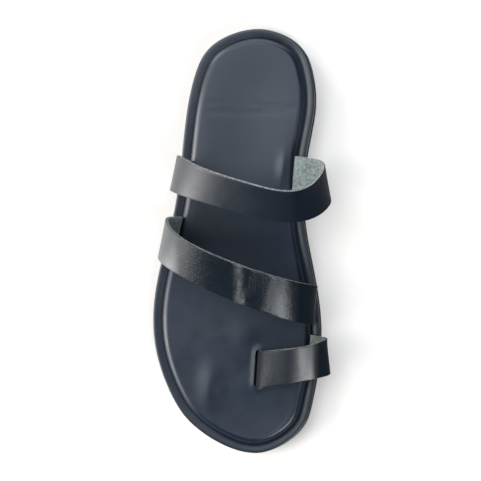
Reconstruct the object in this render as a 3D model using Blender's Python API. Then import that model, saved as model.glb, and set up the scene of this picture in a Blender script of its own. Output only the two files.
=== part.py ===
"""Strap slipper for the right foot: a flat layered sole, a padded insole and three leather bands.

Sizes are in millimetres, and the meshes are in metres. +Z is up, the toe points along -Y, and the
inner (big-toe) side of the foot is at +X.
"""

from collections import namedtuple
from math import cos, pi, radians, sin

import bmesh
import bpy
import numpy as np

MM = 0.001

# Fit between pieces
GAP = 0.3

# Sole layers
HEEL_BACK_Y = 138.4
HEEL_TIP_X = 10.1
TOE_TIP_X = 8.6
SOLE_LENGTH = 277.2
OUTSOLE_THICK = 6.0
OUTSOLE_EDGE = 0.8
RIM_DROP_TO_SEAT = 1.2

# Mesh fineness
SIDE_POINTS = 44
SOLE_COLUMNS = 3
INSOLE_COLUMNS = 8
STRAP_SPANS = 40
FOLD_SPANS = 5
CURVE_STEPS = 40
SMOOTH_ANGLE = 50.0

# Leather bands
STRAP_THICK = 2.2
STRAP_EDGE_ROUND = 0.6
STRAP_FACE_POINTS = 4
FOLD_RADIUS = 2.2
TAB_LENGTH = 14.0
FOOT_INSET = 6.1
FOOT_HEIGHT = GAP + STRAP_THICK / 2 + FOLD_RADIUS

# Punched slot that the toe loop goes down through, a little to the outer side of the band
SLOT_WIDTH = 4.6
SLOT_LENGTH = 24.0
SLOT_SHIFT = -0.6
SLOT_DEPTH = 40.0
SLOT_END_POINTS = 8

# Widths of the sole: distance from the back of the heel, then the outer and inner edge
Width = namedtuple("Width", "from_heel outer inner")
WIDTHS = (
    Width(10.0, -19.1, 36.9),
    Width(26.0, -29.9, 45.5),
    Width(50.0, -36.0, 47.9),
    Width(80.0, -39.8, 42.9),
    Width(118.0, -45.2, 40.4),
    Width(150.0, -53.4, 45.1),
    Width(182.0, -59.1, 50.5),
    Width(214.0, -56.6, 50.9),
    Width(244.0, -44.8, 45.8),
    Width(262.0, -29.2, 38.4),
)

# Heights of the sole: underside, top of the rim, thickness of the insole's padding, and how far its middle dips
Level = namedtuple("Level", "from_heel bottom rim pad dip")
LEVELS = (
    Level(0.0, 0.8, 18.9, 4.0, 0.0),
    Level(10.0, 0.0, 18.5, 4.0, 0.0),
    Level(45.0, 0.0, 18.3, 4.2, 0.7),
    Level(76.0, 0.0, 17.6, 4.6, 0.8),
    Level(112.0, 2.0, 16.0, 5.0, 0.3),
    Level(150.0, 0.0, 13.9, 5.0, -0.3),
    Level(190.0, 0.0, 13.4, 5.0, -0.4),
    Level(222.0, 0.0, 13.5, 5.0, 0.1),
    Level(277.2, 3.6, 16.6, 5.0, 0.0),
)

# Edge profiles: distance in from the outline, and height above the named level of the piece
Edge = namedtuple("Edge", "inset height")
OUTSOLE_EDGES = (
    Edge(1.4, 0.0),
    Edge(0.4, 0.4),
    Edge(0.0, 1.4),
    Edge(0.0, 5.2),
    Edge(0.5, OUTSOLE_THICK),
)
MIDSOLE_LOWER_EDGES = (
    Edge(1.4, 0.0),
    Edge(OUTSOLE_EDGE, 0.5),
)
MIDSOLE_UPPER_EDGES = (
    Edge(OUTSOLE_EDGE, -1.2),
    Edge(1.5, -0.1),
    Edge(2.2, 0.0),
    Edge(3.0, -0.03),
    Edge(4.0, -0.2),
    Edge(5.0, -0.46),
    Edge(5.8, -0.75),
    Edge(6.4, -RIM_DROP_TO_SEAT),
)
# The insole's heights are shares of its padding
INSOLE_EDGES = (
    Edge(7.4, 0.0),
    Edge(6.75, 0.14),
    Edge(6.85, 0.27),
    Edge(7.3, 0.46),
    Edge(8.0, 0.65),
    Edge(8.9, 0.82),
    Edge(9.8, 0.94),
    Edge(10.9, 1.0),
)

# Bands: each row is a place on the centre line, and the turn and lean of the band across its width
Pass = namedtuple("Pass", "across along height yaw pitch")
Band = namedtuple("Band", "width outer_foot inner_foot rows")
Foot = namedtuple("Foot", "place yaw pitch inward up")
INSTEP = Band(
    width=23.0,
    outer_foot=41.0,
    inner_foot=43.5,
    rows=(
        Pass(-40.4, 42.8, 36.0, 12, 8),
        Pass(-36.0, 40.6, 58.0, 14, 22),
        Pass(-20.0, 34.0, 73.0, 16, 34),
        Pass(6.0, 26.0, 80.0, 15, 38),
        Pass(30.0, 21.0, 78.0, 8, 38),
        Pass(46.8, 24.8, 66.0, -4, 30),
        Pass(54.8, 34.0, 48.0, -9, 14),
        Pass(50.0, 40.0, 32.0, -9, 5),
    ),
)
VAMP = Band(
    width=25.0,
    outer_foot=4.0,
    inner_foot=-41.0,
    rows=(
        Pass(-48.6, 2.8, 30.0, 12, 6),
        Pass(-45.0, -3.7, 46.0, 18, 26),
        Pass(-29.0, -13.5, 57.5, 22, 31),
        Pass(-4.0, -24.5, 60.5, 22, 26),
        Pass(20.0, -33.0, 56.5, 20, 20),
        Pass(38.0, -38.6, 45.5, 12, 10),
        Pass(47.0, -41.0, 29.0, 4, 4),
    ),
)
LOOP = Band(
    width=22.9,
    outer_foot=None,
    inner_foot=-72.5,
    rows=(
        Pass(11.9, -82.2, 27.5, 4, 2),
        Pass(15.5, -81.6, 33.6, 5, 10),
        Pass(23.0, -80.3, 38.2, 5.5, 15),
        Pass(31.0, -79.0, 41.0, 6, 17),
        Pass(37.0, -78.0, 41.2, 5, 17),
        Pass(43.0, -77.1, 39.0, 3, 15),
        Pass(50.5, -75.6, 33.2, -2, 9),
        Pass(54.9, -74.5, 26.6, -5, 3),
        Pass(53.4, -73.5, 21.0, -6, 0),
    ),
)
# Where the toe loop stands in its slot: place across and along the sole, and turn
LOOP_SLOT = (11.2, -82.5)
LOOP_SLOT_YAW = 4.0

Finish = namedtuple("Finish", "colour roughness")
RUBBER = Finish((0.012, 0.012, 0.014), 0.75)
RIM_LEATHER = Finish((0.022, 0.026, 0.032), 0.45)
INSOLE_LEATHER = Finish((0.045, 0.053, 0.070), 0.42)
SMOOTH_LEATHER = Finish((0.016, 0.018, 0.023), 0.40)
GRAINED_LEATHER = Finish((0.014, 0.016, 0.021), 0.34)


def curve(points, start, end, count, axes):
    """Evenly spaced points of a smooth curve through points, leaving along start and arriving along end.

    The first few columns, as many as axes says, are the place. Any others are carried along.
    """
    points = np.array(points, float)
    chord = np.linalg.norm(np.diff(points[:, :axes], axis=0), axis=1)
    knots = np.concatenate([[0.0], np.cumsum(np.sqrt(chord))])
    step = np.diff(knots)
    slope = np.diff(points, axis=0) / step[:, None]
    last = len(points) - 1
    system = np.eye(last + 1)
    right = np.zeros_like(points)
    right[0, :axes] = np.array(start) * np.linalg.norm(slope[0, :axes])
    right[last, :axes] = np.array(end) * np.linalg.norm(slope[-1, :axes])
    for i in range(1, last):
        system[i, i - 1] = step[i]
        system[i, i] = 2 * (step[i - 1] + step[i])
        system[i, i + 1] = step[i - 1]
        right[i] = 3 * (step[i] * slope[i - 1] + step[i - 1] * slope[i])
    tangent = np.linalg.solve(system, right)

    def at(place):
        span = np.clip(np.searchsorted(knots, place, side="right") - 1, 0, last - 1)
        width = step[span][:, None]
        t = (place - knots[span])[:, None] / width
        rise = points[span + 1] - points[span]
        bend_in = tangent[span] * width - rise
        bend_out = rise - tangent[span + 1] * width
        return points[span] + t * rise + t * (1 - t) * ((1 - t) * bend_in + t * bend_out)

    fine = np.linspace(0.0, knots[-1], CURVE_STEPS * last + 1)
    run = np.linalg.norm(np.diff(at(fine)[:, :axes], axis=0), axis=1)
    length = np.concatenate([[0.0], np.cumsum(run)])
    return at(np.interp(np.linspace(0.0, length[-1], count + 1), length, fine))


def level(name, from_heel):
    """A height of the sole at distances from the heel, flat wherever two rows of the table agree."""
    place = np.array([row.from_heel for row in LEVELS])
    value = np.array([getattr(row, name) for row in LEVELS])
    step = np.diff(place)
    slope = np.diff(value) / step
    tangent = np.zeros(len(value))
    for i in range(1, len(value) - 1):
        if slope[i - 1] * slope[i] > 0:
            tangent[i] = 2 * slope[i - 1] * slope[i] / (slope[i - 1] + slope[i])
    tangent[0] = 1.5 * slope[0] - 0.5 * tangent[1]
    tangent[-1] = 1.5 * slope[-1] - 0.5 * tangent[-2]
    from_heel = np.clip(from_heel, place[0], place[-1])
    span = np.clip(np.searchsorted(place, from_heel, side="right") - 1, 0, len(step) - 1)
    t = (from_heel - place[span]) / step[span]
    rise = value[span + 1] - value[span]
    bend_in = tangent[span] * step[span] - rise
    bend_out = rise - tangent[span + 1] * step[span]
    return value[span] + t * rise + t * (1 - t) * ((1 - t) * bend_in + t * bend_out)


def heel_distance(points):
    return HEEL_BACK_Y - points[..., 1]


def bottom_level(points):
    return level("bottom", heel_distance(points))


def outsole_top_level(points):
    return bottom_level(points) + OUTSOLE_THICK + GAP


def rim_level(points):
    return level("rim", heel_distance(points))


def seat_level(points):
    return rim_level(points) - RIM_DROP_TO_SEAT


def sole_outline():
    """The sole's outline from the heel tip along the outer side to the toe, and back along the inner side."""
    heel = (HEEL_TIP_X, HEEL_BACK_Y)
    toe = (TOE_TIP_X, HEEL_BACK_Y - SOLE_LENGTH)
    outer = [heel] + [(row.outer, HEEL_BACK_Y - row.from_heel) for row in WIDTHS] + [toe]
    inner = [heel] + [(row.inner, HEEL_BACK_Y - row.from_heel) for row in WIDTHS] + [toe]
    outward = (-1.0, 0.0)
    inward = (1.0, 0.0)
    outer_side = curve(outer, outward, inward, SIDE_POINTS, axes=2)
    inner_side = curve(inner, inward, outward, SIDE_POINTS, axes=2)
    return np.vstack([outer_side[:-1], inner_side[:0:-1]])


def outline_normals(outline):
    """Unit directions pointing into the sole."""
    along = np.roll(outline, -1, axis=0) - np.roll(outline, 1, axis=0)
    normal = np.column_stack([-along[:, 1], along[:, 0]])
    return normal / np.linalg.norm(normal, axis=1)[:, None]


OUTLINE = sole_outline()
NORMALS = outline_normals(OUTLINE)


def ring(edge, base):
    """One loop of a sole layer: the outline moved in by the edge's inset, at its height above base."""
    flat = OUTLINE + NORMALS * edge.inset
    return np.column_stack([flat, base(flat) + edge.height])


def cap_columns(loop, columns, height_at):
    """Points that fill a loop in rows across the sole, from the outer to the inner side."""
    count = len(loop)
    share = np.linspace(0.0, 1.0, columns + 1)[1:-1]
    rows = []
    for i in range(1, count // 2):
        flat = loop[i, :2] + share[:, None] * (loop[count - i, :2] - loop[i, :2])
        rows.append(np.column_stack([flat, height_at(flat, share)]))
    return rows


def cap_faces(first, count, start, columns):
    """Faces of a filled loop whose ring starts at vertex first and whose inner points start at start."""
    half = count // 2
    inner = columns - 1

    def row(i):
        filling = [start + (i - 1) * inner + k for k in range(inner)]
        return [first + i] + filling + [first + count - i]

    faces = []
    for i in range(1, half - 1):
        near = row(i)
        far = row(i + 1)
        for k in range(columns):
            faces.append((near[k], near[k + 1], far[k + 1], far[k]))
    heel_row = row(1)
    toe_row = row(half - 1)
    for k in range(columns):
        faces.append((first, heel_row[k + 1], heel_row[k]))
        faces.append((first + half, toe_row[k], toe_row[k + 1]))
    return faces


def layer(name, loops, under, over, columns, finish):
    """A sole layer: stacked loops, closed below at the height under and above at the height over."""
    count = len(OUTLINE)
    points = list(loops)
    faces = []
    for k in range(len(loops) - 1):
        for i in range(count):
            j = (i + 1) % count
            faces.append((k * count + i, k * count + j, (k + 1) * count + j, (k + 1) * count + i))
    start = len(loops) * count
    bottom_rows = cap_columns(loops[0], SOLE_COLUMNS, under)
    faces += cap_faces(0, count, start, SOLE_COLUMNS)
    start += len(bottom_rows) * (SOLE_COLUMNS - 1)
    top_rows = cap_columns(loops[-1], columns, over)
    faces += cap_faces((len(loops) - 1) * count, count, start, columns)
    return make(name, np.vstack(points + bottom_rows + top_rows), faces, finish)


def make(name, points, faces, finish):
    """A named object with outward faces under the slipper's root. One with no finish is a cutter."""
    mesh = bpy.data.meshes.new(name)
    mesh.from_pydata((points * MM).tolist(), [], faces)
    shape = bmesh.new()
    shape.from_mesh(mesh)
    bmesh.ops.recalc_face_normals(shape, faces=shape.faces)
    shape.to_mesh(mesh)
    shape.free()
    mesh.shade_smooth()
    mesh.set_sharp_from_angle(angle=radians(SMOOTH_ANGLE))
    thing = bpy.data.objects.new(name, mesh)
    bpy.context.scene.collection.objects.link(thing)
    thing.parent = root
    if finish is None:
        thing.hide_render = True
        thing.display_type = "WIRE"
    else:
        mesh.materials.append(material(name, finish))
    return thing


def material(name, finish):
    surface = bpy.data.materials.new(name)
    surface.use_nodes = True
    shader = surface.node_tree.nodes["Principled BSDF"]
    shader.inputs["Base Color"].default_value = (*finish.colour, 1.0)
    shader.inputs["Roughness"].default_value = finish.roughness
    shader.inputs["Metallic"].default_value = 0.0
    return surface


def ruling(yaw, pitch):
    """Direction across a band, from its toe edge to its heel edge."""
    yaw = np.radians(yaw)
    pitch = np.radians(pitch)
    return np.stack([np.sin(yaw) * np.cos(pitch), np.cos(yaw) * np.cos(pitch), np.sin(pitch)], axis=-1)


def groove_foot(side, along):
    """Where a band stands in the groove beside the insole. Its tab turns in under the insole."""
    half = len(OUTLINE) // 2
    places = np.arange(1, half) if side == "outer" else np.arange(half + 1, len(OUTLINE))
    groove = OUTLINE[places] + NORMALS[places] * FOOT_INSET
    order = np.argsort(groove[:, 1])
    across = np.interp(along, groove[order, 1], groove[order, 0])
    inward = np.array([np.interp(along, groove[order, 1], NORMALS[places][order, k]) for k in (0, 1)])
    yaw = np.degrees(np.arctan(-inward[1] / inward[0]))
    return stand(np.array([across, along]), yaw, inward / np.linalg.norm(inward))


def slot_foot():
    """Where the toe loop stands in its slot. Its tab turns away from the loop, to the outer side."""
    yaw = radians(LOOP_SLOT_YAW)
    return stand(np.array(LOOP_SLOT), LOOP_SLOT_YAW, np.array([-cos(yaw), sin(yaw)]))


def stand(place, yaw, inward):
    """A band's foot, square to the slope of the seat that its tab lies on."""
    reach = np.array([0.0, TAB_LENGTH / 2])
    slope = (seat_level(place + reach) - seat_level(place - reach)) / TAB_LENGTH
    up = np.array([0.0, -slope, 1.0])
    up /= np.linalg.norm(up)
    inward = np.array([*inward, slope * inward[1]])
    pitch = np.degrees(np.arctan(slope * cos(radians(yaw))))
    on_seat = np.array([*place, seat_level(place)])
    return Foot(on_seat + up * FOOT_HEIGHT, yaw, pitch, inward / np.linalg.norm(inward), up)


def fold(foot, extra):
    """A band's end from its tab under the insole round the fold to where it stands upright."""
    centre = foot.place + foot.inward * FOLD_RADIUS
    points = [centre - foot.up * FOLD_RADIUS + foot.inward * (TAB_LENGTH + extra)]
    tangents = [-foot.inward]
    for turn in np.linspace(0.0, pi / 2, FOLD_SPANS + 1):
        points.append(centre - FOLD_RADIUS * (foot.inward * sin(turn) + foot.up * cos(turn)))
        tangents.append(-foot.inward * cos(turn) + foot.up * sin(turn))
    return points, tangents


def band_path(band, extra):
    """Centre line, directions and rulings of a whole band, from one tab to the other."""
    outer = slot_foot() if band.outer_foot is None else groove_foot("outer", band.outer_foot)
    inner = groove_foot("inner", band.inner_foot)
    ends = [(*foot.place, foot.yaw, foot.pitch) for foot in (outer, inner)]
    rows = curve([ends[0], *band.rows, ends[1]], outer.up, -inner.up, STRAP_SPANS, axes=3)
    middle = rows[:, :3]
    along = np.gradient(middle, axis=0)
    along[0] = outer.up
    along[-1] = -inner.up
    start_points, start_tangents = fold(outer, extra)
    end_points, end_tangents = fold(inner, extra)
    points = np.vstack([start_points[:-1], middle, end_points[-2::-1]])
    tangents = np.vstack([start_tangents[:-1], along, [-t for t in end_tangents[-2::-1]]])
    tangents /= np.linalg.norm(tangents, axis=1)[:, None]
    lead = len(start_points) - 1
    tail = len(end_points) - 1
    angles = np.vstack([[rows[0, 3:]] * lead, rows[:, 3:], [rows[-1, 3:]] * tail])
    across = ruling(angles[:, 0], angles[:, 1])
    across -= tangents * np.sum(across * tangents, axis=1)[:, None]
    across /= np.linalg.norm(across, axis=1)[:, None]
    return points, tangents, across


def band_section(width, thick):
    """Rounded cross section of a band: place across it, and place through its thickness."""
    edge = width / 2
    face = edge - STRAP_EDGE_ROUND
    skin = thick / 2
    shoulder = skin - STRAP_EDGE_ROUND
    outside = [(place, -skin) for place in np.linspace(-face, face, STRAP_FACE_POINTS)]
    inside = [(place, skin) for place in np.linspace(face, -face, STRAP_FACE_POINTS)]
    return outside + [(edge, -shoulder), (edge, shoulder)] + inside + [(-edge, shoulder), (-edge, -shoulder)]


def band_solid(name, band, finish, extra=0.0):
    """A band with its tabs, or with extra all round it the cutter for its pocket in the insole."""
    points, tangents, across = band_path(band, extra)
    inside = np.cross(across, tangents)
    section = band_section(band.width + 2 * extra, STRAP_THICK + 2 * extra)
    count = len(section)
    corners = []
    for middle, wide, deep in zip(points, across, inside):
        corners += [middle + wide * a + deep * b for a, b in section]
    faces = []
    for k in range(len(points) - 1):
        for i in range(count):
            j = (i + 1) % count
            faces.append((k * count + i, k * count + j, (k + 1) * count + j, (k + 1) * count + i))
    last = (len(points) - 1) * count
    faces.append(tuple(range(count)))
    faces.append(tuple(range(last, last + count)))
    return make(name, np.array(corners), faces, finish)


def slot_cutter():
    """The punched slot: a straight-sided hole with round ends, through the whole insole."""
    yaw = radians(LOOP_SLOT_YAW)
    wide = np.array([cos(yaw), -sin(yaw)])
    long = np.array([sin(yaw), cos(yaw)])
    radius = SLOT_WIDTH / 2
    reach = SLOT_LENGTH / 2 - radius
    middle = np.array(LOOP_SLOT) + wide * SLOT_SHIFT
    rim = []
    for end in (1, -1):
        for turn in np.linspace(0.0, pi, SLOT_END_POINTS):
            rim.append(middle + end * (long * (reach + radius * sin(turn)) + wide * radius * cos(turn)))
    count = len(rim)
    points = [(*p, 0.0) for p in rim] + [(*p, SLOT_DEPTH) for p in rim]
    faces = [tuple(range(count)), tuple(range(count, 2 * count))]
    for i in range(count):
        j = (i + 1) % count
        faces.append((i, j, count + j, count + i))
    return make("slot_cutter", np.array(points), faces, None)


def cut(thing, cutters):
    for cutter in cutters:
        pocket = thing.modifiers.new(cutter.name, "BOOLEAN")
        pocket.operation = "DIFFERENCE"
        pocket.solver = "EXACT"
        pocket.object = cutter


def build_outsole():
    loops = [ring(edge, bottom_level) for edge in OUTSOLE_EDGES]

    def under(flat, share):
        return bottom_level(flat)

    def over(flat, share):
        return bottom_level(flat) + OUTSOLE_THICK

    layer("outsole", loops, under, over, SOLE_COLUMNS, RUBBER)


def build_midsole():
    loops = [ring(edge, outsole_top_level) for edge in MIDSOLE_LOWER_EDGES]
    loops += [ring(edge, rim_level) for edge in MIDSOLE_UPPER_EDGES]

    def under(flat, share):
        return outsole_top_level(flat)

    def over(flat, share):
        return seat_level(flat)

    layer("midsole", loops, under, over, SOLE_COLUMNS, RIM_LEATHER)


def pad_ring(edge):
    """One loop of the insole: its height is a share of the padding there."""
    loop = ring(Edge(edge.inset, GAP), seat_level)
    loop[:, 2] += edge.height * (level("pad", heel_distance(loop)) - GAP)
    return loop


def build_insole():
    loops = [pad_ring(edge) for edge in INSOLE_EDGES]

    def under(flat, share):
        return seat_level(flat) + GAP

    def over(flat, share):
        rise = (4 * share * (1 - share)) ** 2
        dip = level("dip", heel_distance(flat)) * rise
        return seat_level(flat) + level("pad", heel_distance(flat)) - dip

    return layer("insole", loops, under, over, INSOLE_COLUMNS, INSOLE_LEATHER)


def build_bands(insole):
    cutters = [slot_cutter()]
    for name, band, finish in (
        ("instep_strap", INSTEP, SMOOTH_LEATHER),
        ("vamp_strap", VAMP, GRAINED_LEATHER),
        ("toe_loop", LOOP, SMOOTH_LEATHER),
    ):
        band_solid(name, band, finish)
        cutters.append(band_solid(name + "_pocket", band, None, extra=GAP))
    cut(insole, cutters)


def centre_on_floor():
    """Moves the root so that the middle of the slipper's footprint is at the origin, with its sole on z = 0."""
    solids = [thing for thing in root.children if not thing.hide_render]
    corners = np.vstack([[v.co for v in thing.data.vertices] for thing in solids])
    low = corners.min(axis=0)
    high = corners.max(axis=0)
    root.location = (-(low[0] + high[0]) / 2, -(low[1] + high[1]) / 2, -low[2])


for old in list(bpy.data.objects):
    bpy.data.objects.remove(old)
root = bpy.data.objects.new("slipper", None)
bpy.context.scene.collection.objects.link(root)
build_outsole()
build_midsole()
build_bands(build_insole())
centre_on_floor()
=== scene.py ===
"""Looks of the strap slipper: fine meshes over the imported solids, their materials, light and camera.

Sizes are in millimetres in the slipper's own frame: +X is the inner side of the foot, -Y the toe, +Z up.
"""

from collections import namedtuple
from math import cos, pi, radians, sin

import bmesh
import bpy
import numpy as np
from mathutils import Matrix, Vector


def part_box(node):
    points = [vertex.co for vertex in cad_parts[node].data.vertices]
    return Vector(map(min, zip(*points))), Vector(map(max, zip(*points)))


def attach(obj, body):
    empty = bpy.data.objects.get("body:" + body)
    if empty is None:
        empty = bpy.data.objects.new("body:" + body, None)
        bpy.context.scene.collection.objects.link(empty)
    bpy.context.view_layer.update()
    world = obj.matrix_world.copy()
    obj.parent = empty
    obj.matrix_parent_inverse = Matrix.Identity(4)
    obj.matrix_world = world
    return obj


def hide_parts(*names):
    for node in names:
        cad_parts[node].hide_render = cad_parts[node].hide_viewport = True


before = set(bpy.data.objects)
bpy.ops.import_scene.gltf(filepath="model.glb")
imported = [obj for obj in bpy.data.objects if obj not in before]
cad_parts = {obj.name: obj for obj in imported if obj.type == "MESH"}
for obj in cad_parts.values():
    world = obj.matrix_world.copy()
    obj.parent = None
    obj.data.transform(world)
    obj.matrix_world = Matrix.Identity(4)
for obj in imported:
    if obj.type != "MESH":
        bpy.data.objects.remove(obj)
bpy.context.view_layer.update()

MM = 0.001

# Sole layers
GAP = 0.3
HEEL_BACK_Y = 138.4
HEEL_TIP_X = 10.1
TOE_TIP_X = 8.6
SOLE_LENGTH = 277.2
OUTSOLE_THICK = 6.0
OUTSOLE_EDGE = 0.8
RIM_DROP_TO_SEAT = 1.2
HEEL_PRESS = 0.35
PRESS_SHIFT = 0.1
PRESS_GAIN = 2.0

# Mesh fineness
SIDE_POINTS = 150
PROFILE_POINTS = 24
PROFILE_SCALE = 5.0
SOLE_COLUMNS = 12
INSOLE_COLUMNS = 72
CURVE_STEPS = 40
BAND_SPANS = 180
FOLD_SPANS = 8
BAND_COLUMNS = 26
EDGE_COLUMNS = 4
CORNER_SPANS = 3
SMOOTH_ANGLE = 40.0

# Leather bands
STRAP_THICK = 2.2
STRAP_CORNER = 0.4
FOLD_RADIUS = 2.2
TAB_LENGTH = 14.0
BEND_FLOOR = 40.0
FACE = 0
CUT_EDGE = 1
LINING = 2
FOOT_INSET = 6.1
FOOT_HEIGHT = GAP + STRAP_THICK / 2 + FOLD_RADIUS

# Punched slot of the toe loop
SLOT_WIDTH = 4.6
SLOT_LENGTH = 24.0
SLOT_SHIFT = -0.6
SLOT_DEPTH = 40.0
SLOT_END_POINTS = 16
SLOT_LIP = 1.0
SLOT_LIP_REACH = 1.5
LOOP_SLOT = (11.2, -82.5)
LOOP_SLOT_YAW = 4.0

# Camera: the image's width, its scale on the rim, and where the lens is and what it aims at
PHOTO_PIXELS = 481
MM_PER_PIXEL = 0.65
CAMERA_X = 58.7
CAMERA_Y = 0.3
CAMERA_ABOVE_RIM = 900.0
RIM_PLANE_Z = 15.0
AIM_X = -1.0
SENSOR_MM = 36.0

Width = namedtuple("Width", "from_heel outer inner")
WIDTHS = (
    Width(10.0, -19.1, 36.9),
    Width(26.0, -29.9, 45.5),
    Width(50.0, -36.0, 47.9),
    Width(80.0, -39.8, 42.9),
    Width(118.0, -45.2, 40.4),
    Width(150.0, -53.4, 45.1),
    Width(182.0, -59.1, 50.5),
    Width(214.0, -56.6, 50.9),
    Width(244.0, -44.8, 45.8),
    Width(262.0, -29.2, 38.4),
)

Level = namedtuple("Level", "from_heel bottom rim pad dip")
LEVELS = (
    Level(0.0, 0.8, 18.9, 4.0, 0.0),
    Level(10.0, 0.0, 18.5, 4.0, 0.0),
    Level(45.0, 0.0, 18.3, 4.2, 0.7),
    Level(76.0, 0.0, 17.6, 4.6, 0.8),
    Level(112.0, 2.0, 16.0, 5.0, 0.3),
    Level(150.0, 0.0, 13.9, 5.0, -0.3),
    Level(190.0, 0.0, 13.4, 5.0, -0.4),
    Level(222.0, 0.0, 13.5, 5.0, 0.1),
    Level(277.2, 3.6, 16.6, 5.0, 0.0),
)

# Edge profiles: distance in from the outline, and height above the level that the piece is built on
Edge = namedtuple("Edge", "inset height")
OUTSOLE_EDGES = (
    Edge(1.4, 0.0),
    Edge(0.4, 0.4),
    Edge(0.0, 1.4),
    Edge(0.0, 5.2),
    Edge(0.5, OUTSOLE_THICK),
)
MIDSOLE_LOWER_EDGES = (
    Edge(1.4, 0.0),
    Edge(OUTSOLE_EDGE, 0.5),
)
# The rim: its heights where a groove opens beside the insole, and where the insole presses against it
Rim = namedtuple("Rim", "inset open pressed")
RIM_EDGES = (
    Rim(OUTSOLE_EDGE, -1.2, -1.2),
    Rim(0.95, -0.5, -0.5),
    Rim(1.5, -0.1, -0.1),
    Rim(2.2, 0.0, 0.0),
    Rim(3.0, -0.03, -0.03),
    Rim(3.6, -0.12, -0.065),
    Rim(4.3, -0.28, -0.125),
    Rim(4.9, -0.46, -0.195),
    Rim(5.5, -0.72, -0.29),
    Rim(6.0, -0.96, -0.38),
    Rim(6.5, -RIM_DROP_TO_SEAT, -0.53),
)
SEAT_EDGE = Edge(6.6, -RIM_DROP_TO_SEAT)
# The insole's heights are shares of its padding
INSOLE_EDGES = (
    Edge(7.4, 0.0),
    Edge(6.95, 0.05),
    Edge(6.75, 0.14),
    Edge(6.85, 0.27),
    Edge(7.3, 0.46),
    Edge(8.0, 0.65),
    Edge(8.9, 0.82),
    Edge(9.8, 0.94),
    Edge(10.9, 1.0),
)

Pass = namedtuple("Pass", "across along height yaw pitch")
Band = namedtuple("Band", "width outer_foot inner_foot rows")
Foot = namedtuple("Foot", "place yaw pitch inward up")
INSTEP = Band(
    width=23.0,
    outer_foot=41.0,
    inner_foot=43.5,
    rows=(
        Pass(-40.4, 42.8, 36.0, 12, 8),
        Pass(-36.0, 40.6, 58.0, 14, 22),
        Pass(-20.0, 34.0, 73.0, 16, 34),
        Pass(6.0, 26.0, 80.0, 15, 38),
        Pass(30.0, 21.0, 78.0, 8, 38),
        Pass(46.8, 24.8, 66.0, -4, 30),
        Pass(54.8, 34.0, 48.0, -9, 14),
        Pass(50.0, 40.0, 32.0, -9, 5),
    ),
)
VAMP = Band(
    width=25.0,
    outer_foot=4.0,
    inner_foot=-41.0,
    rows=(
        Pass(-48.6, 2.8, 30.0, 12, 6),
        Pass(-45.0, -3.7, 46.0, 18, 26),
        Pass(-29.0, -13.5, 57.5, 22, 31),
        Pass(-4.0, -24.5, 60.5, 22, 26),
        Pass(20.0, -33.0, 56.5, 20, 20),
        Pass(38.0, -38.6, 45.5, 12, 10),
        Pass(47.0, -41.0, 29.0, 4, 4),
    ),
)
LOOP = Band(
    width=22.9,
    outer_foot=None,
    inner_foot=-72.5,
    rows=(
        Pass(11.9, -82.2, 27.5, 4, 2),
        Pass(15.5, -81.6, 33.6, 5, 10),
        Pass(23.0, -80.3, 38.2, 5.5, 15),
        Pass(31.0, -79.0, 41.0, 6, 17),
        Pass(37.0, -78.0, 41.2, 5, 17),
        Pass(43.0, -77.1, 39.0, 3, 15),
        Pass(50.5, -75.6, 33.2, -2, 9),
        Pass(54.9, -74.5, 26.6, -5, 3),
        Pass(53.4, -73.5, 21.0, -6, 0),
    ),
)

# Soft bends of the vamp band, as ridges along its rulings
Bend = namedtuple("Bend", "across height width")
VAMP_BENDS = (
    Bend(4.5, 0.6, 3.0),
    Bend(18.0, 0.4, 3.5),
)

# Soft forms of the footbed: creases across the heel, and low swells under the toes
Crease = namedtuple("Crease", "x0 y0 x1 y1 depth width")
CREASES = (
    Crease(-30.0, 89.0, 4.0, 89.2, 0.13, 0.9),
    Crease(2.0, 88.6, 40.0, 85.6, 0.17, 0.9),
    Crease(-30.0, 83.6, 40.0, 83.0, 0.16, 1.1),
)
Swell = namedtuple("Swell", "x y across along height")
SWELLS = (
    Swell(-20.5, -93.0, 6.5, 13.0, 1.7),
    Swell(1.0, -61.0, 8.0, 12.0, 0.5),
    Swell(14.0, -112.0, 16.0, 12.0, -0.35),
    Swell(-10.0, 20.0, 30.0, 40.0, 0.25),
    Swell(28.0, 44.0, 4.0, 10.0, 1.1),
)


def curve(points, start, end, count, axes):
    """Evenly spaced points of a smooth curve through points, leaving along start and arriving along end."""
    points = np.array(points, float)
    chord = np.linalg.norm(np.diff(points[:, :axes], axis=0), axis=1)
    knots = np.concatenate([[0.0], np.cumsum(np.sqrt(chord))])
    step = np.diff(knots)
    slope = np.diff(points, axis=0) / step[:, None]
    last = len(points) - 1
    system = np.eye(last + 1)
    right = np.zeros_like(points)
    right[0, :axes] = np.array(start) * np.linalg.norm(slope[0, :axes])
    right[last, :axes] = np.array(end) * np.linalg.norm(slope[-1, :axes])
    for i in range(1, last):
        system[i, i - 1] = step[i]
        system[i, i] = 2 * (step[i - 1] + step[i])
        system[i, i + 1] = step[i - 1]
        right[i] = 3 * (step[i] * slope[i - 1] + step[i - 1] * slope[i])
    tangent = np.linalg.solve(system, right)

    def at(place):
        span = np.clip(np.searchsorted(knots, place, side="right") - 1, 0, last - 1)
        width = step[span][:, None]
        t = (place - knots[span])[:, None] / width
        rise = points[span + 1] - points[span]
        bend_in = tangent[span] * width - rise
        bend_out = rise - tangent[span + 1] * width
        return points[span] + t * rise + t * (1 - t) * ((1 - t) * bend_in + t * bend_out)

    fine = np.linspace(0.0, knots[-1], CURVE_STEPS * last + 1)
    run = np.linalg.norm(np.diff(at(fine)[:, :axes], axis=0), axis=1)
    length = np.concatenate([[0.0], np.cumsum(run)])
    return at(np.interp(np.linspace(0.0, length[-1], count + 1), length, fine))


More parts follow.
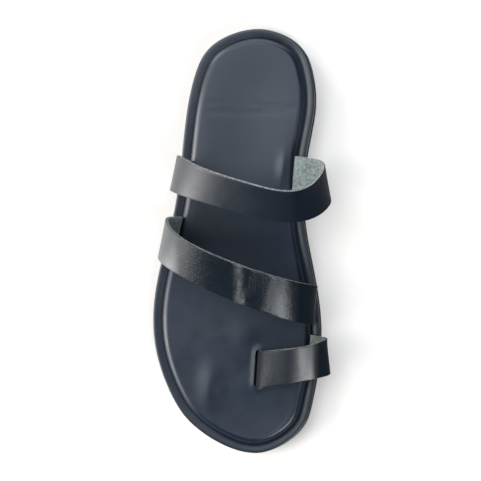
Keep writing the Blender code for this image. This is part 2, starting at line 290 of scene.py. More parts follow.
def level(name, from_heel):
    """A height of the sole at distances from the heel, flat wherever two rows of the table agree."""
    place = np.array([row.from_heel for row in LEVELS])
    value = np.array([getattr(row, name) for row in LEVELS])
    step = np.diff(place)
    slope = np.diff(value) / step
    tangent = np.zeros(len(value))
    for i in range(1, len(value) - 1):
        if slope[i - 1] * slope[i] > 0:
            tangent[i] = 2 * slope[i - 1] * slope[i] / (slope[i - 1] + slope[i])
    tangent[0] = 1.5 * slope[0] - 0.5 * tangent[1]
    tangent[-1] = 1.5 * slope[-1] - 0.5 * tangent[-2]
    from_heel = np.clip(from_heel, place[0], place[-1])
    span = np.clip(np.searchsorted(place, from_heel, side="right") - 1, 0, len(step) - 1)
    t = (from_heel - place[span]) / step[span]
    rise = value[span + 1] - value[span]
    bend_in = tangent[span] * step[span] - rise
    bend_out = rise - tangent[span + 1] * step[span]
    return value[span] + t * rise + t * (1 - t) * ((1 - t) * bend_in + t * bend_out)


def heel_distance(points):
    return HEEL_BACK_Y - points[..., 1]


def bottom_level(points):
    return level("bottom", heel_distance(points))


def outsole_top_level(points):
    return bottom_level(points) + OUTSOLE_THICK + GAP


def rim_level(points):
    return level("rim", heel_distance(points))


def seat_level(points):
    return rim_level(points) - RIM_DROP_TO_SEAT


def sole_outline():
    """The sole's outline from the heel tip along the outer side to the toe, and back along the inner side."""
    heel = (HEEL_TIP_X, HEEL_BACK_Y)
    toe = (TOE_TIP_X, HEEL_BACK_Y - SOLE_LENGTH)
    outer = [heel] + [(row.outer, HEEL_BACK_Y - row.from_heel) for row in WIDTHS] + [toe]
    inner = [heel] + [(row.inner, HEEL_BACK_Y - row.from_heel) for row in WIDTHS] + [toe]
    outward = (-1.0, 0.0)
    inward = (1.0, 0.0)
    outer_side = curve(outer, outward, inward, SIDE_POINTS, axes=2)
    inner_side = curve(inner, inward, outward, SIDE_POINTS, axes=2)
    return np.vstack([outer_side[:-1], inner_side[:0:-1]])


def outline_normals(outline):
    """Unit directions pointing into the sole."""
    along = np.roll(outline, -1, axis=0) - np.roll(outline, 1, axis=0)
    normal = np.column_stack([-along[:, 1], along[:, 0]])
    return normal / np.linalg.norm(normal, axis=1)[:, None]


def pressed_share(normals):
    """How far the insole presses against the rim: fully on the outer side and round the back of the heel."""
    facing = normals[:, 0] - HEEL_PRESS * normals[:, 1]
    return np.clip((facing + PRESS_SHIFT) * PRESS_GAIN, 0.0, 1.0)


OUTLINE = sole_outline()
NORMALS = outline_normals(OUTLINE)
PRESSED = pressed_share(NORMALS)


def frame_shift():
    """Where the slipper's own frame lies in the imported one, in millimetres, read from the outsole's box."""
    low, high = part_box("outsole")
    middle = (np.array(low) + np.array(high)) / 2 / MM
    own = (OUTLINE.min(axis=0) + OUTLINE.max(axis=0)) / 2
    return np.array([middle[0] - own[0], middle[1] - own[1], 0.0])


SHIFT = frame_shift()


def smooth_profile(edges, start, end, height_scale=1.0):
    """Finer rows of a profile, along a smooth curve through it."""
    rows = [(edge[0], *(height * height_scale for height in edge[1:])) for edge in edges]
    fine = curve(rows, start, end, PROFILE_POINTS, axes=2)
    return [type(edges[0])(row[0], *(row[1:] / height_scale)) for row in fine]


def ring(edge, base):
    """One loop of a sole layer: the outline moved in by the edge's inset, at its height above base."""
    flat = OUTLINE + NORMALS * edge.inset
    return np.column_stack([flat, base(flat) + edge.height])


def cap_rows(loop, columns, height_at):
    """Points that fill a loop in rows across the sole, from the outer to the inner side."""
    count = len(loop)
    share = np.linspace(0.0, 1.0, columns + 1)[1:-1]
    rows = []
    for i in range(1, count // 2):
        flat = loop[i, :2] + share[:, None] * (loop[count - i, :2] - loop[i, :2])
        rows.append(np.column_stack([flat, height_at(flat, share)]))
    return rows


def cap_faces(first, count, start, columns):
    """Faces of a filled loop whose ring starts at vertex first and whose inner points start at start."""
    half = count // 2
    inner = columns - 1

    def row(i):
        filling = [start + (i - 1) * inner + k for k in range(inner)]
        return [first + i] + filling + [first + count - i]

    faces = []
    for i in range(1, half - 1):
        near = row(i)
        far = row(i + 1)
        for k in range(columns):
            faces.append((near[k], near[k + 1], far[k + 1], far[k]))
    heel_row = row(1)
    toe_row = row(half - 1)
    for k in range(columns):
        faces.append((first, heel_row[k + 1], heel_row[k]))
        faces.append((first + half, toe_row[k], toe_row[k + 1]))
    return faces


def layer(name, loops, under, over, columns, surface):
    """A sole layer: stacked loops, closed below at the height under and above at the height over."""
    count = len(OUTLINE)
    faces = []
    for k in range(len(loops) - 1):
        for i in range(count):
            j = (i + 1) % count
            faces.append((k * count + i, k * count + j, (k + 1) * count + j, (k + 1) * count + i))
    start = len(loops) * count
    bottom_rows = cap_rows(loops[0], SOLE_COLUMNS, under)
    faces += cap_faces(0, count, start, SOLE_COLUMNS)
    start += len(bottom_rows) * (SOLE_COLUMNS - 1)
    top_rows = cap_rows(loops[-1], columns, over)
    faces += cap_faces((len(loops) - 1) * count, count, start, columns)
    return make(name, np.vstack(loops + bottom_rows + top_rows), faces, [surface])


def make(name, points, faces, surfaces, face_surfaces=None):
    """A smooth-shaded piece with outward faces and its materials."""
    mesh = bpy.data.meshes.new(name)
    mesh.from_pydata(((points + SHIFT) * MM).tolist(), [], faces)
    for surface in surfaces:
        mesh.materials.append(surface)
    if face_surfaces is not None:
        mesh.polygons.foreach_set("material_index", face_surfaces)
    shape = bmesh.new()
    shape.from_mesh(mesh)
    bmesh.ops.recalc_face_normals(shape, faces=shape.faces)
    shape.to_mesh(mesh)
    shape.free()
    mesh.shade_smooth()
    mesh.set_sharp_from_angle(angle=radians(SMOOTH_ANGLE))
    piece = bpy.data.objects.new(name, mesh)
    bpy.context.scene.collection.objects.link(piece)
    return piece


def ruling(yaw, pitch):
    """Direction across a band, from its toe edge to its heel edge."""
    yaw = np.radians(yaw)
    pitch = np.radians(pitch)
    return np.stack([np.sin(yaw) * np.cos(pitch), np.cos(yaw) * np.cos(pitch), np.sin(pitch)], axis=-1)


def groove_foot(side, along):
    """Where a band stands in the groove beside the insole. Its tab turns in under the insole."""
    half = len(OUTLINE) // 2
    places = np.arange(1, half) if side == "outer" else np.arange(half + 1, len(OUTLINE))
    groove = OUTLINE[places] + NORMALS[places] * FOOT_INSET
    order = np.argsort(groove[:, 1])
    across = np.interp(along, groove[order, 1], groove[order, 0])
    inward = np.array([np.interp(along, groove[order, 1], NORMALS[places][order, k]) for k in (0, 1)])
    yaw = np.degrees(np.arctan(-inward[1] / inward[0]))
    return stand(np.array([across, along]), yaw, inward / np.linalg.norm(inward))


def slot_foot():
    """Where the toe loop stands in its slot. Its tab turns away from the loop, to the outer side."""
    yaw = radians(LOOP_SLOT_YAW)
    return stand(np.array(LOOP_SLOT), LOOP_SLOT_YAW, np.array([-cos(yaw), sin(yaw)]))


def stand(place, yaw, inward):
    """A band's foot, square to the slope of the seat that its tab lies on."""
    reach = np.array([0.0, TAB_LENGTH / 2])
    slope = (seat_level(place + reach) - seat_level(place - reach)) / TAB_LENGTH
    up = np.array([0.0, -slope, 1.0])
    up /= np.linalg.norm(up)
    inward = np.array([*inward, slope * inward[1]])
    pitch = np.degrees(np.arctan(slope * cos(radians(yaw))))
    on_seat = np.array([*place, seat_level(place)])
    return Foot(on_seat + up * FOOT_HEIGHT, yaw, pitch, inward / np.linalg.norm(inward), up)


def fold(foot, extra):
    """A band's end from its tab under the insole round the fold to where it stands upright."""
    centre = foot.place + foot.inward * FOLD_RADIUS
    points = [centre - foot.up * FOLD_RADIUS + foot.inward * (TAB_LENGTH + extra)]
    tangents = [-foot.inward]
    for turn in np.linspace(0.0, pi / 2, FOLD_SPANS + 1):
        points.append(centre - FOLD_RADIUS * (foot.inward * sin(turn) + foot.up * cos(turn)))
        tangents.append(-foot.inward * cos(turn) + foot.up * sin(turn))
    return points, tangents


def band_path(band, extra):
    """Centre line, directions and rulings of a whole band, from one tab to the other."""
    outer = slot_foot() if band.outer_foot is None else groove_foot("outer", band.outer_foot)
    inner = groove_foot("inner", band.inner_foot)
    ends = [(*foot.place, foot.yaw, foot.pitch) for foot in (outer, inner)]
    rows = curve([ends[0], *band.rows, ends[1]], outer.up, -inner.up, BAND_SPANS, axes=3)
    middle = rows[:, :3]
    along = np.gradient(middle, axis=0)
    along[0] = outer.up
    along[-1] = -inner.up
    start_points, start_tangents = fold(outer, extra)
    end_points, end_tangents = fold(inner, extra)
    points = np.vstack([start_points[:-1], middle, end_points[-2::-1]])
    tangents = np.vstack([start_tangents[:-1], along, [-t for t in end_tangents[-2::-1]]])
    tangents /= np.linalg.norm(tangents, axis=1)[:, None]
    lead = len(start_points) - 1
    tail = len(end_points) - 1
    angles = np.vstack([[rows[0, 3:]] * lead, rows[:, 3:], [rows[-1, 3:]] * tail])
    across = ruling(angles[:, 0], angles[:, 1])
    across -= tangents * np.sum(across * tangents, axis=1)[:, None]
    across /= np.linalg.norm(across, axis=1)[:, None]
    return points, tangents, across


def band_section(width, thick):
    """Rounded cross section of a band as rows of place across it, place through it and kind of surface."""
    edge = width / 2 - STRAP_CORNER
    skin = thick / 2 - STRAP_CORNER
    across = np.linspace(-edge, edge, BAND_COLUMNS + 1)[:-1]
    through = np.linspace(-skin, skin, EDGE_COLUMNS + 1)[:-1]
    turns = [pi / 2 * k / CORNER_SPANS for k in range(CORNER_SPANS)]
    rows = []
    for side, near, far in ((1, FACE, LINING), (-1, LINING, FACE)):
        half = [(place, -thick / 2, near) for place in across]
        half += [(edge + STRAP_CORNER * sin(turn), -skin - STRAP_CORNER * cos(turn), near) for turn in turns]
        half += [(width / 2, place, CUT_EDGE) for place in through]
        half += [(edge + STRAP_CORNER * cos(turn), skin + STRAP_CORNER * sin(turn), far) for turn in turns]
        rows += [(side * place, side * depth, kind) for place, depth, kind in half]
    return rows


def bend(points, inside, bends):
    """Lifts the centre line outwards at each bend."""
    lift = np.zeros(len(points))
    for row in bends:
        lift += row.height * np.exp(-(((points[:, 0] - row.across) / row.width) ** 2))
    lift[points[:, 2] < BEND_FLOOR] = 0.0
    return points - inside * lift[:, None]


def band_piece(name, band, surfaces, extra=0.0, bends=()):
    """A band with its tabs, or with extra all round it the cutter for its pocket in the insole."""
    points, tangents, across = band_path(band, extra)
    inside = np.cross(across, tangents)
    points = bend(points, inside, bends)
    section = band_section(band.width + 2 * extra, STRAP_THICK + 2 * extra)
    count = len(section)
    place = np.array([row[0] for row in section])
    depth = np.array([row[1] for row in section])
    corners = (
        points[:, None, :]
        + across[:, None, :] * place[None, :, None]
        + inside[:, None, :] * depth[None, :, None]
    ).reshape(-1, 3)
    faces = []
    kinds = []
    for k in range(len(points) - 1):
        for i in range(count):
            j = (i + 1) % count
            faces.append((k * count + i, k * count + j, (k + 1) * count + j, (k + 1) * count + i))
            kinds.append(section[i][2])
    last = (len(points) - 1) * count
    faces += [tuple(range(count)), tuple(range(last, last + count))]
    kinds += [CUT_EDGE, CUT_EDGE]
    return make(name, corners, faces, surfaces, kinds)


def slot_frame():
    """Middle of the slot, and the directions across and along it."""
    yaw = radians(LOOP_SLOT_YAW)
    wide = np.array([cos(yaw), -sin(yaw)])
    long = np.array([sin(yaw), cos(yaw)])
    return np.array(LOOP_SLOT) + wide * SLOT_SHIFT, wide, long


def slot_cutter():
    """The punched slot: a straight-sided hole with round ends, through the whole insole."""
    middle, wide, long = slot_frame()
    radius = SLOT_WIDTH / 2
    reach = SLOT_LENGTH / 2 - radius
    rim = []
    for end in (1, -1):
        for turn in np.linspace(0.0, pi, SLOT_END_POINTS):
            rim.append(middle + end * (long * (reach + radius * sin(turn)) + wide * radius * cos(turn)))
    count = len(rim)
    points = [(*p, 0.0) for p in rim] + [(*p, SLOT_DEPTH) for p in rim]
    faces = [tuple(range(count)), tuple(range(count, 2 * count))]
    for i in range(count):
        j = (i + 1) % count
        faces.append((i, j, count + j, count + i))
    return make("slot_cutter", np.array(points), faces, [])


def slot_distance(flat):
    """Distance from points to the edge of the slot, zero inside it."""
    middle, wide, long = slot_frame()
    offset = flat - middle
    radius = SLOT_WIDTH / 2
    reach = SLOT_LENGTH / 2 - radius
    past = np.maximum(np.abs(offset @ long) - reach, 0.0)
    return np.maximum(np.hypot(offset @ wide, past) - radius, 0.0)


def footbed_relief(flat):
    """Soft forms of the footbed above its plain surface: creases, swells, the slot's raised lip."""
    height = SLOT_LIP * np.exp(-((slot_distance(flat) / SLOT_LIP_REACH) ** 2))
    for swell in SWELLS:
        far = ((flat[:, 0] - swell.x) / swell.across) ** 2 + ((flat[:, 1] - swell.y) / swell.along) ** 2
        height += swell.height * np.exp(-far)
    for crease in CREASES:
        start = np.array([crease.x0, crease.y0])
        run = np.array([crease.x1, crease.y1]) - start
        share = np.clip((flat - start) @ run / (run @ run), 0.0, 1.0)
        far = np.linalg.norm(flat - start - share[:, None] * run, axis=1)
        fade = np.clip(6 * share * (1 - share), 0.0, 1.0)
        height -= crease.depth * fade * np.exp(-((far / crease.width) ** 2))
    return height


def pad_ring(edge):
    """One loop of the insole: its height is a share of the padding there."""
    loop = ring(Edge(edge.inset, GAP), seat_level)
    loop[:, 2] += edge.height * (level("pad", heel_distance(loop)) - GAP)
    return loop


def insole_piece(surface):
    loops = [pad_ring(edge) for edge in smooth_profile(INSOLE_EDGES, (-1.0, 0.0), (1.0, 0.0), PROFILE_SCALE)]

    def under(flat, share):
        return seat_level(flat) + GAP

    def over(flat, share):
        rise = (4 * share * (1 - share)) ** 2
        edge_fade = np.clip(16 * share * (1 - share), 0.0, 1.0)
        dip = level("dip", heel_distance(flat)) * rise
        top = seat_level(flat) + level("pad", heel_distance(flat))
        return top - dip + footbed_relief(flat) * edge_fade

    return layer("insole_pad", loops, under, over, INSOLE_COLUMNS, surface)


def midsole_piece(surface):
    loops = [ring(edge, outsole_top_level) for edge in MIDSOLE_LOWER_EDGES]
    for rim in smooth_profile(RIM_EDGES, (0.0, 1.0), (0.8, -0.6)):
        height = rim.open + PRESSED * (rim.pressed - rim.open)
        loops.append(ring(Edge(rim.inset, height), rim_level))
    loops.append(ring(SEAT_EDGE, rim_level))

    def under(flat, share):
        return outsole_top_level(flat)

    def over(flat, share):
        return seat_level(flat)

    return layer("midsole_body", loops, under, over, SOLE_COLUMNS, surface)


def outsole_piece(surface):
    loops = [ring(edge, bottom_level) for edge in smooth_profile(OUTSOLE_EDGES, (-1.0, 0.0), (0.7, 0.7))]

    def under(flat, share):
        return bottom_level(flat)

    def over(flat, share):
        return bottom_level(flat) + OUTSOLE_THICK

    return layer("outsole_sheet", loops, under, over, SOLE_COLUMNS, surface)


def cut(piece, cutters):
    """Cuts the cutters out of a piece for good, and removes them."""
    for cutter in cutters:
        pocket = piece.modifiers.new(cutter.name, "BOOLEAN")
        pocket.operation = "DIFFERENCE"
        pocket.solver = "EXACT"
        pocket.object = cutter
    bpy.context.view_layer.update()
    shaped = bpy.data.meshes.new_from_object(piece.evaluated_get(bpy.context.evaluated_depsgraph_get()))
    piece.modifiers.clear()
    piece.data = shaped
    shaped.shade_smooth()
    shaped.set_sharp_from_angle(angle=radians(SMOOTH_ANGLE))
    for cutter in cutters:
        bpy.data.objects.remove(cutter)


class Shader:
    """A material's node tree, with short calls for the nodes that the leathers share."""

    def __init__(self, name, colour, roughness, **sockets):
        self.material = bpy.data.materials.new(name)
        self.material.use_nodes = True
        self.tree = self.material.node_tree
        self.body = self.tree.nodes["Principled BSDF"]
        self.body.inputs["Base Color"].default_value = (*colour, 1.0)
        self.body.inputs["Roughness"].default_value = roughness
        for socket, value in sockets.items():
            self.body.inputs[socket.replace("_", " ")].default_value = value
        self.place = self.node("ShaderNodeTexCoord").outputs["Object"]

    def node(self, kind, **settings):
        made = self.tree.nodes.new(kind)
        for key, value in settings.items():
            setattr(made, key, value)
        return made

    def feed(self, source, target):
        """Sets a socket to a number or colour, or links a node's output to it."""
        if isinstance(source, (int, float)):
            target.default_value = source
        elif isinstance(source, tuple):
            target.default_value = (*source, 1.0)
        else:
            self.tree.links.new(source, target)

    def noise(self, size_mm, detail=3.0, roughness=0.55, vector=None):
        made = self.node("ShaderNodeTexNoise")
        made.inputs["Scale"].default_value = 1 / (size_mm * MM)
        made.inputs["Detail"].default_value = detail
        made.inputs["Roughness"].default_value = roughness
        self.feed(vector or self.place, made.inputs["Vector"])
        return made.outputs["Fac"]

    def cells(self, size_mm):
        made = self.node("ShaderNodeTexVoronoi", feature="SMOOTH_F1")
        made.inputs["Scale"].default_value = 1 / (size_mm * MM)
        made.inputs["Smoothness"].default_value = 0.35
        self.feed(self.place, made.inputs["Vector"])
        return made.outputs["Distance"]

    def drawn_out(self, streak):
        """Places that change slowly across the shoe, so that a texture on them is drawn out that way."""
        made = self.node("ShaderNodeMapping")
        made.inputs["Scale"].default_value = (1 / streak, 1.0, 1.0)
        self.feed(self.place, made.inputs["Vector"])
        return made.outputs["Vector"]

    def ramp(self, value, low, high, to_low, to_high):
        made = self.node("ShaderNodeMapRange")
        for socket, number in zip(("From Min", "From Max", "To Min", "To Max"), (low, high, to_low, to_high)):
            made.inputs[socket].default_value = number
        self.feed(value, made.inputs["Value"])
        return made.outputs["Result"]

    def stops(self, skin, field):
        """A value that follows a field of the skin's table of polish and painted light, across or along the
        shoe.
        """
        values = [getattr(row, field) for row in skin.polish]
        if min(values) == max(values):
            return values[0]
        places = self.node("ShaderNodeSeparateXYZ")
        self.feed(self.place, places.inputs["Vector"])
        start = skin.polish[0].place
        end = skin.polish[-1].place
        shades = self.node("ShaderNodeValToRGB")
        ramp = shades.color_ramp
        while len(ramp.elements) < len(skin.polish):
            ramp.elements.new(1.0)
        for stop, row, value in zip(ramp.elements, skin.polish, values):
            stop.position = (row.place - start) / (end - start)
            stop.color = (value, value, value, 1.0)
        share = self.ramp(places.outputs[skin.way], start * MM, end * MM, 0.0, 1.0)
        self.feed(share, shades.inputs["Fac"])
        return shades.outputs["Color"]

    def math(self, operation, first, second):
        made = self.node("ShaderNodeMath", operation=operation)
        for socket, value in zip(made.inputs, (first, second)):
            self.feed(value, socket)
        return made.outputs["Value"]

    def mix(self, share, first, second):
        made = self.node("ShaderNodeMix", data_type="RGBA")
        colours = [socket for socket in made.inputs if socket.type == "RGBA"]
        for socket, value in zip(colours, (first, second)):
            self.feed(value, socket)
        self.feed(share, made.inputs["Factor"])
        return next(socket for socket in made.outputs if socket.type == "RGBA")

    def bump(self, height, depth_mm, strength=1.0, normal=None):
        made = self.node("ShaderNodeBump")
        self.feed(strength, made.inputs["Strength"])
        made.inputs["Distance"].default_value = depth_mm * MM
        self.feed(height, made.inputs["Height"])
        if normal is not None:
            self.feed(normal, made.inputs["Normal"])
        return made.outputs["Normal"]

    def set(self, socket, source):
        self.feed(source, self.body.inputs[socket])


# Leathers: base colours between which they cloud, tint of the shine, the way along which their shine is
# tabled (0 across the shoe, 1 along it), the table of polish and painted light, the size and depth of the
# pebbles and of the finer grain, and how far the finer grain is drawn out across the shoe. The tabled shine
# is partly
# polish and partly painted light: painted highlights where it is raised, painted shade where it is lowered
Leather = namedtuple(
    "Leather",
    "dark light tint way polish cloud_mm grain_mm grain_depth fine_mm fine_depth streak",
)
# Polish and painted light: where, strength of the shine (partly polish, partly painted highlights and painted
# shade), roughness and strength of the grain
Polish = namedtuple("Polish", "place shine rough grain", defaults=(1.0,))
ROUGH_SPREAD = 0.05
INSOLE_SKIN = Leather(
    dark=(0.0037, 0.0050, 0.0088),
    light=(0.0031, 0.0074, 0.0162),
    tint=(0.88, 0.945, 1.0),
    way=1,
    # The footbed's shine along its length is partly painted light: lowered between the straps as painted
    # shade, raised behind the instep strap as painted light
    polish=(
        Polish(-122.0, 0.25, 0.32),
        Polish(-96.0, 0.25, 0.34),
        Polish(-60.0, 0.31, 0.35),
        Polish(0.0, 0.18, 0.35),
        Polish(50.0, 0.45, 0.35),
        Polish(110.0, 0.375, 0.35),
    ),
    cloud_mm=28.0,
    grain_mm=0.9,
    grain_depth=0.015,
    fine_mm=0.35,
    fine_depth=0.008,
    streak=1.0,
)
RIM_SKIN = Leather(
    dark=(0.0035, 0.0056, 0.0100),
    light=(0.0048, 0.0072, 0.0128),
    tint=(0.88, 0.94, 1.0),
    way=1,
    polish=(
        Polish(-135.0, 0.24, 0.33),
        Polish(-60.0, 0.29, 0.33),
        Polish(80.0, 0.42, 0.33),
    ),
    cloud_mm=14.0,
    grain_mm=0.8,
    grain_depth=0.015,
    fine_mm=0.3,
    fine_depth=0.008,
    streak=1.0,
)
SMOOTH_SKIN = Leather(
    dark=(0.0034, 0.0055, 0.0094),
    light=(0.0045, 0.0072, 0.0117),
    tint=(0.93, 0.97, 1.0),
    way=0,
    # The instep band's shine is partly painted light: beyond plain leather at its outer end as a painted
    # highlight, fading to nearly none at its inner end as painted shade
    polish=(
        Polish(-46.0, 1.20, 0.34),
        Polish(-38.0, 0.64, 0.42),
        Polish(-20.0, 0.47, 0.46),
        Polish(18.0, 0.19, 0.40),
        Polish(38.0, 0.01, 0.40),
    ),
    cloud_mm=18.0,
    grain_mm=0.7,
    grain_depth=0.018,
    fine_mm=0.3,
    fine_depth=0.004,
    streak=1.0,
)
GRAINED_SKIN = Leather(
    dark=(0.0026, 0.0045, 0.0070),
    light=(0.0035, 0.0058, 0.0089),
    tint=(0.90, 0.95, 1.0),
    way=0,
    # The vamp band's shine is partly painted light: beyond plain leather at its outer end and in a peak over
    # the first bend as painted highlights, nearly none at its inner end as painted shade
    polish=(
        Polish(-53.0, 2.20, 0.42, 0.05),
        Polish(-47.0, 1.30, 0.40, 0.10),
        Polish(-36.0, 0.25, 0.36),
        Polish(-18.0, 0.13, 0.26),
        Polish(-3.0, 0.16, 0.26),
        Polish(2.0, 1.65, 0.37),
        Polish(6.0, 0.13, 0.26),
        Polish(14.0, 0.13, 0.22),
        Polish(29.0, 0.33, 0.22),
        Polish(39.0, 0.01, 0.30),
    ),
    cloud_mm=16.0,
    grain_mm=0.9,
    grain_depth=0.10,
    fine_mm=0.8,
    fine_depth=0.18,
    streak=1.0,
)
MATT_SKIN = Leather(
    dark=(0.0033, 0.0051, 0.0078),
    light=(0.0043, 0.0067, 0.0099),
    tint=(0.94, 0.97, 1.0),
    way=0,
    # The toe loop's shine is partly painted light: a peak on its inner shoulder as a painted highlight,
    # nearly none at its inner end as painted shade
    polish=(
        Polish(14.0, 0.09, 0.46),
        Polish(22.0, 0.125, 0.46),
        Polish(31.0, 0.19, 0.46),
        Polish(37.0, 0.35, 0.50),
        Polish(42.0, 0.85, 0.50),
        Polish(46.0, 1.45, 0.50),
        Polish(48.5, 0.25, 0.46),
        Polish(51.0, 0.01, 0.42),
    ),
    cloud_mm=8.0,
    grain_mm=0.9,
    grain_depth=0.05,
    fine_mm=0.55,
    fine_depth=0.11,
    streak=4.0,
)


def leather(name, skin):
    """Dyed leather: clouded colour, uneven roughness, a shine by place that is partly polish and partly
    painted highlights and painted shade, pebbles and a finer grain over them.
    """
    made = Shader(name, skin.dark, skin.polish[0].rough, Specular_Tint=(*skin.tint, 1.0))
    made.set("Base Color", made.mix(made.noise(skin.cloud_mm, detail=4.0), skin.dark, skin.light))
    # The specular level follows the tabled shine: partly polish, partly painted highlights and painted shade
    made.set("Specular IOR Level", made.stops(skin, "shine"))
    patchy = made.ramp(made.noise(skin.cloud_mm / 3), 0.3, 0.7, -ROUGH_SPREAD, ROUGH_SPREAD)
    made.set("Roughness", made.math("ADD", made.stops(skin, "rough"), patchy))
    grain = made.stops(skin, "grain")
    pebbles = made.bump(made.cells(skin.grain_mm), skin.grain_depth, grain)
    fine = made.noise(skin.fine_mm, vector=made.drawn_out(skin.streak))
    made.set("Normal", made.bump(fine, skin.fine_depth, grain, pebbles))
    return made.material


def sole_rubber():
    skin = Shader("sole_rubber", (0.010, 0.010, 0.011), 0.7, Specular_IOR_Level=0.2)
    skin.set("Base Color", skin.mix(skin.noise(3.0), (0.008, 0.008, 0.009), (0.014, 0.014, 0.015)))
    skin.set("Normal", skin.bump(skin.noise(0.5), 0.05, 0.6))
    return skin.material


def raw_edge(name, dark, light):
    skin = Shader(name, dark, 0.85, Specular_IOR_Level=0.25)
    fibre = skin.ramp(skin.noise(0.9, detail=5.0, roughness=0.65), 0.40, 0.66, 0.0, 1.0)
    skin.set("Base Color", skin.mix(fibre, dark, light))
    skin.set("Normal", skin.bump(skin.noise(0.3), 0.1, 0.8))
    return skin.material


def suede(name, dark, light):
    skin = Shader(name, dark, 0.95, Specular_IOR_Level=0.2, Sheen_Weight=0.15)
    nap = skin.noise(2.2, detail=6.0, roughness=0.7)
    skin.set("Base Color", skin.mix(skin.ramp(nap, 0.32, 0.68, 0.0, 1.0), dark, light))
    skin.set("Normal", skin.bump(skin.noise(0.35, detail=4.0), 0.12, 0.9))
    return skin.material


def dress():
    """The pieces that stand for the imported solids."""
    outsole = outsole_piece(sole_rubber())
    midsole = midsole_piece(leather("rim_leather", RIM_SKIN))
    insole = insole_piece(leather("insole_leather", INSOLE_SKIN))
    smooth = leather("smooth_leather", SMOOTH_SKIN)
    grained = leather("grained_leather", GRAINED_SKIN)
    matt = leather("matt_leather", MATT_SKIN)
    pale = raw_edge("raw_edge", (0.045, 0.047, 0.05), (0.25, 0.255, 0.255))
    dyed = raw_edge("dyed_edge", (0.025, 0.026, 0.028), (0.20, 0.205, 0.20))
    inside = suede("suede", (0.038, 0.054, 0.057), (0.155, 0.184, 0.188))
    # The toe loop's lining is a darker copy of the suede: painted shade inside the loop
    painted_shade_suede = suede("suede_with_painted_shade", (0.025, 0.032, 0.032), (0.07, 0.085, 0.082))
    cutters = [slot_cutter()]
    bands = []
    for name, node, band, surfaces, slot, bends in (
        ("instep_band", "instep_strap", INSTEP, [smooth, pale, inside], "smooth_leather", ()),
        ("vamp_band", "vamp_strap", VAMP, [grained, dyed, inside], "grained_leather", VAMP_BENDS),
        ("toe_band", "toe_loop", LOOP, [matt, dyed, painted_shade_suede], "smooth_leather", ()),
    ):
        bands.append((band_piece(name, band, surfaces, bends=bends), node, slot))
        cutters.append(band_piece(name + "_pocket", band, [], extra=GAP))
    cut(insole, cutters)
    for piece, node, slot in bands + [
        (outsole, "outsole", "rubber"),
        (midsole, "midsole", "rim_leather"),
        (insole, "insole", "insole_leather"),
    ]:
        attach(piece, "root")
        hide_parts(node)


# Soft patches of light: angle down from overhead, angle round from the inner side towards the heel, colour,
# brightness, and the angles from its middle where the patch is full and gone
Patch = namedtuple("Patch", "down round colour strength full gone")
PATCHES = (
    Patch(72, 187, (1.0, 0.945, 0.88), 18.0, 8, 30),
    Patch(30, 180, (1.0, 0.97, 0.94), 6.5, 5, 20),
    Patch(66, 135, (1.0, 0.97, 0.93), 20.0, 3, 15),
    Patch(25, 112, (0.93, 0.97, 1.0), 5.0, 6, 27),
    Patch(22, 0, (0.95, 0.98, 1.0), 0.9, 8, 21),
    Patch(47, -48, (1.0, 0.98, 0.96), 21.0, 5, 20),
    Patch(74, 90, (0.95, 0.98, 1.0), 3.5, 12, 36),
)
ROOM_COLOUR = (0.70, 0.84, 1.0)
ROOM_LIGHT = 0.07


def heading(down, round_):
    """Direction that leans down from overhead, turned round from +X towards +Y."""
    down = radians(down)
    round_ = radians(round_)
    return sin(down) * cos(round_), sin(down) * sin(round_), cos(down)


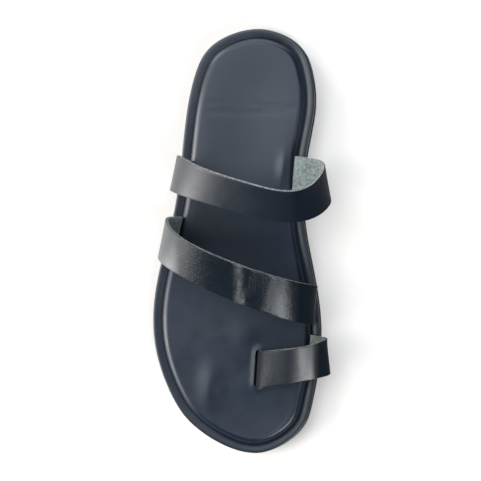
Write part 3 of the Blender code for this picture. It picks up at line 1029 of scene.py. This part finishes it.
def studio():
    """A dim room with soft patches of light."""
    world = bpy.data.worlds.new("studio")
    bpy.context.scene.world = world
    world.use_nodes = True
    nodes = world.node_tree.nodes
    links = world.node_tree.links
    around = nodes.new("ShaderNodeTexCoord").outputs["Generated"]
    room = nodes["Background"]
    room.inputs["Color"].default_value = (*ROOM_COLOUR, 1.0)
    room.inputs["Strength"].default_value = ROOM_LIGHT
    total = room.outputs["Background"]
    for patch in PATCHES:
        facing = nodes.new("ShaderNodeVectorMath")
        facing.operation = "DOT_PRODUCT"
        facing.inputs[1].default_value = heading(patch.down, patch.round)
        links.new(around, facing.inputs[0])
        fade = nodes.new("ShaderNodeMapRange")
        fade.interpolation_type = "SMOOTHSTEP"
        fade.inputs["From Min"].default_value = cos(radians(patch.gone))
        fade.inputs["From Max"].default_value = cos(radians(patch.full))
        fade.inputs["To Max"].default_value = patch.strength
        links.new(facing.outputs["Value"], fade.inputs["Value"])
        glow = nodes.new("ShaderNodeBackground")
        glow.inputs["Color"].default_value = (*patch.colour, 1.0)
        links.new(fade.outputs["Result"], glow.inputs["Strength"])
        both = nodes.new("ShaderNodeAddShader")
        links.new(total, both.inputs[0])
        links.new(glow.outputs["Background"], both.inputs[1])
        total = both.outputs["Shader"]
    links.new(total, nodes["World Output"].inputs["Surface"])
    bpy.context.scene.view_settings.view_transform = "Standard"


FLOOR_HALF = 4.0
FLOOR_DROP = 0.0002


def floor():
    mesh = bpy.data.meshes.new("floor")
    corners = [(x * FLOOR_HALF, y * FLOOR_HALF, -FLOOR_DROP) for x, y in ((-1, -1), (1, -1), (1, 1), (-1, 1))]
    mesh.from_pydata(corners, [], [(0, 1, 2, 3)])
    paper = Shader("floor_paper", (0.44, 0.44, 0.44), 0.9)
    paper.set("Normal", paper.bump(paper.noise(1.5), 0.05, 0.3))
    mesh.materials.append(paper.material)
    sheet = bpy.data.objects.new("floor", mesh)
    bpy.context.scene.collection.objects.link(sheet)


def camera():
    """A long lens above the inner side, turned a little towards the slipper."""
    lens = bpy.data.cameras.new("camera")
    lens.sensor_width = SENSOR_MM
    lens.lens = SENSOR_MM * CAMERA_ABOVE_RIM / MM_PER_PIXEL / PHOTO_PIXELS
    eye = bpy.data.objects.new("camera", lens)
    eye.location = (np.array([CAMERA_X, CAMERA_Y, RIM_PLANE_Z + CAMERA_ABOVE_RIM]) + SHIFT) * MM
    eye.rotation_euler = (0.0, float(np.arctan2(CAMERA_X - AIM_X, CAMERA_ABOVE_RIM)), 0.0)
    bpy.context.scene.collection.objects.link(eye)
    bpy.context.scene.camera = eye


camera()
floor()
studio()
dress()
